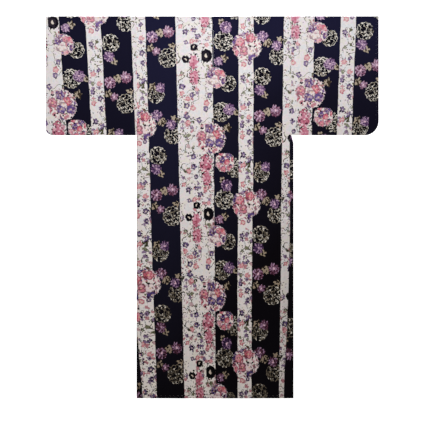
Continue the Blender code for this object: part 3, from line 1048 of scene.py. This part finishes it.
def makeCollar():
    neckY = shoulderY - 2 * cloth["cadWall"]
    drops = steps([0.0, bodyShape["tipDrop"]], underneath["collarCell"])
    drops += steps([bodyShape["tipDrop"], underneath["collarEnd"]], underneath["collarCell"])[1:]
    rows = [("left", drop) for drop in reversed(drops)]
    rows += [("neck", 0.0)]
    rows += [("right", drop) for drop in drops]
    across = underneath["collarCells"]
    columns = [("across", index / across) for index in range(across + 1)]
    neck = bodyShape["neck"]
    edge = bodyShape["frontEdge"]

    def place(column, row):
        share = row[1] / underneath["collarEnd"]
        width = between(underneath["collarAtNeck"], underneath["collarAtEnd"], share)
        if row[0] == "neck":
            return (0.0, neckY - width * column[1], levelHeight(0.5))
        side = bodySides[row[0]]
        if row[1] <= bodyShape["tipDrop"]:
            seam = between(neck, edge, row[1] / bodyShape["tipDrop"])
        else:
            share = (row[1] - bodyShape["tipDrop"]) / (underneath["collarEnd"] - bodyShape["tipDrop"])
            seam = between(edge, -overlapReach(1.0), share)
        x = seam - cloth["gap"] - width * column[1]
        y = shoulderY - row[1]
        if row[1] < underneath["mitre"]:
            share = row[1] / underneath["mitre"]
            y = between(neckY - width * column[1], shoulderY - underneath["mitre"], share)
        return (side["sign"] * x, y, levelHeight(side["frontLevel"]))

    def printAt(column, row, facePart):
        along = {"left": -row[1] - neck, "neck": 0.0, "right": row[1] + neck}[row[0]]
        return (0.20 + column[1] * 0.06, along)

    return makeSheet("collarBand", "collar", columns, rows, place, printAt)


collarPiece = makeCollar()

# Hem and cuff stitches, which catch the cloth where its turned-in edge ends
stitch = {
    "length": 0.0026,
    "width": 0.0007,
    "height": 0.0004,
    "every": 0.017,
    "inset": 0.0105,
    "fromCorner": 0.010,
    "colour": "#d3ccc6",
    "shade": "#8f8780",
    "twist": 0.0007,  # metres from one turn of the thread to the next
}


def makeThread():
    # Cotton sewing thread, two plies twisted: matt, with slanting shadows between the plies
    material, shader = newMaterial("twisted cotton thread")
    tree = material.node_tree
    place = addNode(tree, "TexCoord").outputs["Object"]
    waves = 2 * math.pi / 10 / stitch["twist"]
    plies = addNode(tree, "TexWave", {"Vector": place, "Scale": waves}, bands_direction="DIAGONAL")
    thread = addNode(
        tree, "Mix", {0: plies.outputs["Fac"], 6: srgb(stitch["shade"]), 7: srgb(stitch["colour"])},
        data_type="RGBA",
    )
    tree.links.new(thread.outputs[2], shader.inputs["Base Color"])
    shader.inputs["Roughness"].default_value = 0.85
    shader.inputs["Specular IOR Level"].default_value = 0.2
    return material


cottonThread = makeThread()
bpy.context.view_layer.update()


def makeStitches(name, piece, start, end):
    # a row of stitches from start to end, lying on a piece
    evaluated = piece.evaluated_get(bpy.context.evaluated_depsgraph_get())
    run = Vector(end) - Vector(start)
    turn = Matrix.Rotation(math.atan2(run.y, run.x), 4, "Z")
    size = Matrix.Diagonal((stitch["length"] / 2, stitch["width"] / 2, stitch["height"] / 2, 1))
    count = round(run.length / stitch["every"])
    mesh = bmesh.new()
    for index in range(count):
        x, y = Vector(start) + run * (index + 0.5) / count
        hit, where, normal, face = evaluated.ray_cast(Vector((x, y, 1)), Vector((0, 0, -1)))
        if hit:
            bmesh.ops.create_uvsphere(
                mesh, u_segments=8, v_segments=4, radius=1, matrix=Matrix.Translation(where) @ turn @ size
            )
    for face in mesh.faces:
        face.smooth = True
    row = placeMesh(mesh, name, cottonThread)
    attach(row, "root")
    print("sewed", name)
    return row


for word, side in bodySides.items():
    hemLine = hemY + stitch["inset"]
    hemEnd = side["armhole"] - side["rolls"][-1][1] - stitch["fromCorner"]
    makeStitches(
        word + "HemStitches", bodyPieces[word],
        (side["sign"] * bodyShape["pastSeam"], hemLine), (side["sign"] * hemEnd, hemLine),
    )
    sleeveSide = sleeveSides[word]
    low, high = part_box("sleeve_" + word)
    cuffLine = (high.x if sleeveSide["sign"] > 0 else low.x) - sleeveSide["sign"] * stitch["inset"]
    makeStitches(
        word + "CuffStitches", sleevePieces[word],
        (cuffLine, sleeveBottomY + sleeveSide["corner"]), (cuffLine, shoulderY - stitch["fromCorner"]),
    )
# Floor: smooth white board, lit evenly
studio = {
    "floorColour": "#f6f6f6",
    "floorGlow": 0.95,
    "domeRadius": 20,
    "domeGlow": 1.0,
    "keyPower": 37.5,
    "keySize": 1.6,
    "keyPlace": (0.06, 1.15, 1.8),
    "keyAim": (0.02, 0.35, 0),
    "fillPower": 11.5,
    "fillPlace": (-1.1, -1.7, 1.6),
    "fillAim": (-0.1, -0.6, 0),
    "worldStrength": 0.08,
}
floorMesh = bmesh.new()
bmesh.ops.create_grid(floorMesh, x_segments=1, y_segments=1, size=6.0)
board, boardShader = newMaterial("matt white board")
boardShader.inputs["Base Color"].default_value = srgb(studio["floorColour"])
boardShader.inputs["Roughness"].default_value = 0.9
boardShader.inputs["Emission Color"].default_value = (1, 1, 1, 1)
boardShader.inputs["Emission Strength"].default_value = studio["floorGlow"]
floor = placeMesh(floorMesh, "floor", board)

# White dome round the studio, which only the camera sees
domeMesh = bmesh.new()
bmesh.ops.create_uvsphere(domeMesh, u_segments=48, v_segments=24, radius=studio["domeRadius"])
backdrop, backdropShader = newMaterial("lit white backdrop")
backdropShader.inputs["Base Color"].default_value = (0, 0, 0, 1)
backdropShader.inputs["Emission Color"].default_value = (1, 1, 1, 1)
backdropShader.inputs["Emission Strength"].default_value = studio["domeGlow"]
dome = placeMesh(domeMesh, "dome", backdrop)
dome.visible_diffuse = False
dome.visible_glossy = False
dome.visible_shadow = False

for name in ("key", "fill"):
    spot, aim = studio[name + "Place"], studio[name + "Aim"]
    lamp = bpy.data.lights.new(name, "AREA")
    lamp.energy = studio[name + "Power"]
    lamp.size = studio["keySize"]
    lampObject = bpy.data.objects.new(name, lamp)
    bpy.context.collection.objects.link(lampObject)
    lampObject.location = spot
    lampObject.rotation_euler = (Vector(aim) - Vector(spot)).to_track_quat("-Z", "Y").to_euler()

world = bpy.data.worlds.new("studio")
bpy.context.scene.world = world
world.use_nodes = True
world.node_tree.nodes["Background"].inputs["Color"].default_value = (1, 1, 1, 1)
world.node_tree.nodes["Background"].inputs["Strength"].default_value = studio["worldStrength"]
bpy.context.scene.view_settings.view_transform = "Standard"
print("studio ready")
